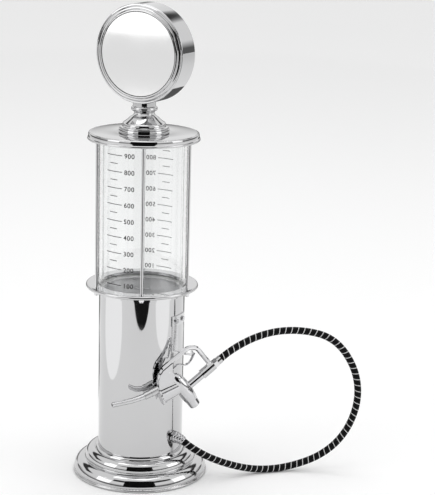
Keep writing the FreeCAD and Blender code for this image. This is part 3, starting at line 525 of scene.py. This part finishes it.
def grid_mesh(name, points, around=True, uv=None):
    """Mesh of a rows by columns by 3 grid of points.

    Its faces are quads between neighbouring rows and columns. When around is set the columns close
    on themselves, and the ends are closed by flat polygons."""
    rows, columns = points.shape[:2]
    row = np.arange(rows - 1)[:, None]
    column = np.arange(columns if around else columns - 1)[None, :]
    following = (column + 1) % columns
    quads = np.stack([row * columns + column, row * columns + following,
                      (row + 1) * columns + following, (row + 1) * columns + column], -1).reshape(-1, 4)
    faces = quads.tolist()
    if around:
        faces.append(list(range(columns - 1, -1, -1)))
        faces.append(list(range((rows - 1) * columns, rows * columns)))
    mesh = bpy.data.meshes.new(name)
    mesh.from_pydata(points.reshape(-1, 3).tolist(), [], faces)
    if uv is not None:
        layer = mesh.uv_layers.new(name="along")
        corner = np.concatenate([
            np.stack([column + 0 * row, row + 0 * column], -1).reshape(-1, 1, 2),
            np.stack([column + 1 + 0 * row, row + 0 * column], -1).reshape(-1, 1, 2),
            np.stack([column + 1 + 0 * row, row + 1 + 0 * column], -1).reshape(-1, 1, 2),
            np.stack([column + 0 * row, row + 1 + 0 * column], -1).reshape(-1, 1, 2)], 1).astype(float)
        turns = corner[..., 0] / columns
        lengths = uv[corner[..., 1].astype(int)]
        flat = np.stack([turns, lengths], -1).reshape(-1, 2)
        padding = np.zeros((len(mesh.loops) - len(flat), 2))
        layer.data.foreach_set("uv", np.concatenate([flat, padding]).ravel())
    mesh.update()
    return mesh


def tube_along(points, radii, normal, columns):
    """Grid of rings round a line: ring i lies across the line at point i with radius radii[i].

    The ring's two directions are the line's heading crossed with a fixed normal, and the heading
    crossed with that."""
    heading = np.gradient(points, axis=0)
    heading /= np.linalg.norm(heading, axis=1, keepdims=True)
    side = np.cross(heading, np.array(normal, float))
    side /= np.linalg.norm(side, axis=1, keepdims=True)
    other = np.cross(heading, side)
    angle = np.arange(columns) * (2 * math.pi / columns)
    cosine, sine = np.cos(angle)[None, :, None], np.sin(angle)[None, :, None]
    rings = side[:, None] * cosine + other[:, None] * sine
    return points[:, None] + rings * radii[:, None, None]


def read_route(name, control, resolution):
    """Points along the smooth NURBS line that has these control points."""
    curve = bpy.data.curves.new(name, "CURVE")
    curve.dimensions = "3D"
    spline = curve.splines.new("NURBS")
    spline.points.add(len(control) - 1)
    for point, place in zip(spline.points, control):
        point.co = (*place, 1.0)
    spline.order_u = 3
    spline.use_endpoint_u = True
    curve.resolution_u = resolution
    holder = bpy.data.objects.new(name, curve)
    bpy.context.scene.collection.objects.link(holder)
    bpy.context.view_layer.update()
    line = bpy.data.meshes.new_from_object(holder)
    points = np.empty(len(line.vertices) * 3)
    line.vertices.foreach_get("co", points)
    bpy.data.objects.remove(holder)
    bpy.data.meshes.remove(line)
    return points.reshape(-1, 3)


def distance_along(line):
    """Length of the line up to each of its points."""
    steps = np.linalg.norm(np.diff(line, axis=0), axis=1)
    return np.concatenate([[0.0], np.cumsum(steps)])


# ---------------------------------------------------------------- hose, boot and valve spring

def add_hose(materials):
    """Round tube of constant radius along the route's smooth line, with the helix in its UV map."""
    line = read_route("hose_line", HOSE_ROUTE, ROUTE_STEPS)
    travelled = distance_along(line)
    radii = np.full(len(line), HOSE_RADIUS)
    rings = tube_along(line, radii, HOSE_PLANE_NORMAL, 40)
    mesh = grid_mesh("hose_tube", rings, uv=travelled / HELIX_PITCH)
    hose = link_mesh("hose_tube", mesh, materials["hose_rubber"], None)
    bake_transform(hose)
    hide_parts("hose")
    return hose


def add_boot(materials):
    """Ribbed boot on the outlet: rings whose radius is a straight taper plus a train of round ribs.

    At a share s of the way the radius is start + (end - start) s + height sqrt(1 - w w), where w runs
    from -1 to 1 across each rib, and the rings lie across the route's smooth line."""
    line = read_route("boot_line", BOOT_ROUTE, ROUTE_STEPS)
    travelled = distance_along(line)
    share = np.linspace(0, 1, RINGS_PER_RIB * BOOT_RIBS + 1)
    wanted = share * travelled[-1]
    places = np.stack([np.interp(wanted, travelled, line[:, axis]) for axis in range(3)], 1)
    across = 2 * ((share * BOOT_RIBS) % 1.0) - 1
    rib = BOOT_RIB_HEIGHT * np.sqrt(np.clip(1 - across ** 2, 0, 1))
    radii = BOOT_START + (BOOT_END - BOOT_START) * share + rib
    radii[-1] = HOSE_RADIUS + BOOT_LIP
    rings = tube_along(places, radii, HOSE_PLANE_NORMAL, 48)
    mesh = grid_mesh("ribbed_boot", rings)
    boot = link_mesh("ribbed_boot", mesh, materials["boot_chrome"], "dispenser")
    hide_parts("hose_boot")
    return boot


def add_valve_spring(materials):
    """Round wire carried along a helix.

    At turn t the centre line is the axis point plus radius times (cos t, sin t)."""
    low, high = (np.array(corner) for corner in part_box("valve_spring"))
    axis = np.array(SPRING_AXIS)
    side = np.cross(axis, (0.0, 0.0, 1.0))
    side /= np.linalg.norm(side)
    other = np.cross(axis, side)
    middle = (low + high) / 2
    turns = np.linspace(0, 2 * math.pi * SPRING_TURNS, SPRING_RINGS)
    along = (turns / turns[-1] - 0.5) * SPRING_LENGTH
    line = middle + along[:, None] * axis + SPRING_RADIUS * (
        side * np.cos(turns)[:, None] + other * np.sin(turns)[:, None])
    rings = tube_along(line, np.full(len(line), SPRING_WIRE), tuple(axis), 10)
    mesh = grid_mesh("valve_coil", rings)
    spring = link_mesh("valve_coil", mesh, materials["steel"], None)
    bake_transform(spring)
    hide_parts("valve_spring")
    return spring


# ---------------------------------------------------------------- printed scale

def wrap_on_cylinder(flat, radius, start_degrees, height):
    """Wraps flat x, y points round the cylinder: x becomes arc length, y becomes height."""
    angle = math.radians(start_degrees) + flat[:, 0] / radius
    return np.stack([radius * np.cos(angle), radius * np.sin(angle), height + flat[:, 1]], 1)


def add_scale(materials):
    """Lines at every 50 and numbers at every 100, in two blocks on opposite sides."""
    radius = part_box("canister")[1][0] + INK_GAP
    patches = []
    for block in SCALE_BLOCKS:
        for index in range(MARKS_PER_BLOCK):
            height = SCALE_TOP_MARK - index * SCALE_STEP / 2
            ends = LONG_MARK if index % 2 == 0 else SHORT_MARK
            angle = np.radians(np.linspace(ends[0], ends[1], 12) + block)
            low = np.stack([radius * np.cos(angle), radius * np.sin(angle), 0 * angle + height], 1)
            strip = np.stack([low - (0, 0, MARK_THICKNESS / 2), low + (0, 0, MARK_THICKNESS / 2)])
            patches.append(grid_mesh("mark", strip, around=False))
            if index % 2 == 0:
                text = str(TOP_NUMBER - HALF_STEP_NUMBER * index)
                patches.append(number_mesh(text, radius, NUMBER_START + block, height))
    holder = bpy.data.meshes.new("printed_scale")
    vertices, faces, first = [], [], 0
    for patch in patches:
        vertices += [tuple(vertex.co) for vertex in patch.vertices]
        faces += [[first + corner for corner in face.vertices] for face in patch.polygons]
        first = len(vertices)
    holder.from_pydata(vertices, [], faces)
    holder.update()
    return link_mesh("printed_scale", holder, materials["ink"], "dispenser")


def number_mesh(text, radius, start_degrees, height):
    """A number's flat outline wrapped round the cylinder, centred on its line."""
    curve = bpy.data.curves.new("number", "FONT")
    curve.body = text
    curve.size = NUMBER_SIZE
    curve.space_character = 1.12
    curve.offset = NUMBER_WEIGHT
    holder = bpy.data.objects.new("number", curve)
    bpy.context.scene.collection.objects.link(holder)
    bpy.context.view_layer.update()
    mesh = bpy.data.meshes.new_from_object(holder)
    flat = np.empty(len(mesh.vertices) * 3)
    mesh.vertices.foreach_get("co", flat)
    flat = flat.reshape(-1, 3)[:, :2]
    flat[:, 1] -= (flat[:, 1].max() + flat[:, 1].min()) / 2
    mesh.vertices.foreach_set("co", wrap_on_cylinder(flat, radius, start_degrees, height).ravel())
    bpy.data.objects.remove(holder)
    return mesh


# ---------------------------------------------------------------- put it together

add_camera()
add_studio()
materials = make_materials()
slot_of = {entry["node"]: entry["material_slot"] for entry in frame["record"]["subparts"]}
for title, node in nodes.items():
    node.data.materials.clear()
    node.data.materials.append(materials[slot_of[title]])
add_hose(materials)
add_boot(materials)
add_valve_spring(materials)
add_scale(materials)

bpy.context.scene.view_settings.view_transform = "Standard"
